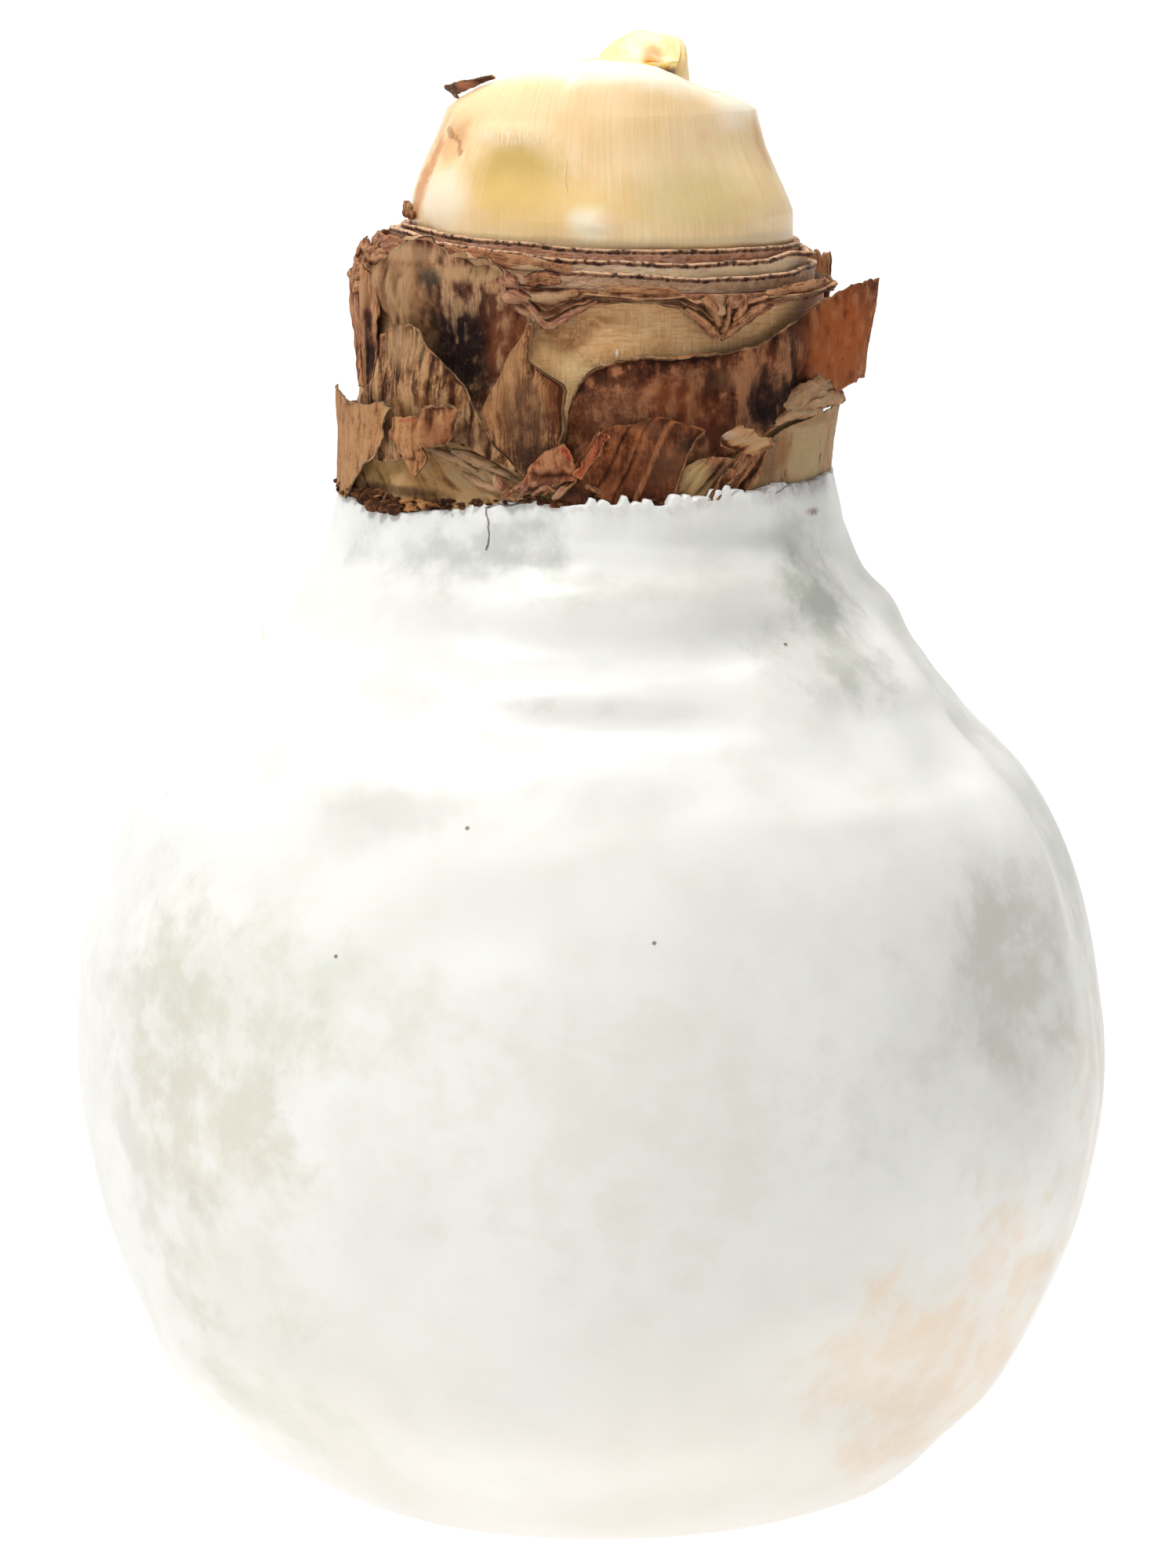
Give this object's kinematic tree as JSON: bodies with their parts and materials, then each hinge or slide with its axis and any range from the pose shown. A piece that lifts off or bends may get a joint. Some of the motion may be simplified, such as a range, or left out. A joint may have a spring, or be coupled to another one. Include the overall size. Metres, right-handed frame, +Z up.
{
  "type": "waxed amaryllis bulb",
  "caption": "Large flower bulb dipped in white wax up to the neck, with its neck cut across and dry torn brown skins round it; it stands on a flat spot in the wax.",
  "frame": {"origin": "middle of the flat spot under the wax, on which the bulb stands", "axes": "+Z up along the neck, -Y towards the front, +X to the right seen from the front"},
  "size_m": [0.1094, 0.1094, 0.1569],
  "materials": {
    "wax": "smooth lumpy white wax with a soft gloss",
    "flesh": "cream waxy bulb flesh with fine upright fibres",
    "young_leaf": "yellow young leaves, cut and browned",
    "scale_skin": "olive cream scale skin with tan stains",
    "brown_skin": "dry brown papery skin with upright fibres",
    "tan_skin": "dry tan papery skin with upright fibres",
    "red_skin": "dry red-brown papery skin"
  },
  "bodies": {
    "root": {"wax_coat": "wax", "bulb": "flesh", "leaf_tube": "young_leaf", "neck_scale_1": "scale_skin", "neck_scale_2": "scale_skin", "neck_scale_3": "scale_skin", "neck_scale_4": "scale_skin", "torn_hem": "brown_skin", "stump_sliver": "brown_skin", "pale_skin": "scale_skin", "hollow_skin": "brown_skin", "side_skin": "brown_skin", "striped_flap": "tan_skin", "curled_flap": "tan_skin", "torn_leaflet": "tan_skin", "folded_flap": "brown_skin", "wrapping_skin": "brown_skin", "front_skin": "red_skin", "red_strip": "red_skin", "red_scrap": "red_skin", "corner_skin": "brown_skin", "corner_sliver": "tan_skin", "tan_curl": "tan_skin", "side_band": "tan_skin", "back_flap_1": "brown_skin", "back_flap_2": "tan_skin", "back_flap_3": "brown_skin", "back_flap_4": "red_skin", "back_flap_5": "brown_skin", "back_flap_6": "tan_skin", "back_flap_7": "brown_skin", "back_flap_8": "red_skin", "back_skin_1": "tan_skin", "back_skin_2": "brown_skin", "back_skin_3": "tan_skin", "back_skin_4": "brown_skin"}
  },
  "joints": []
}
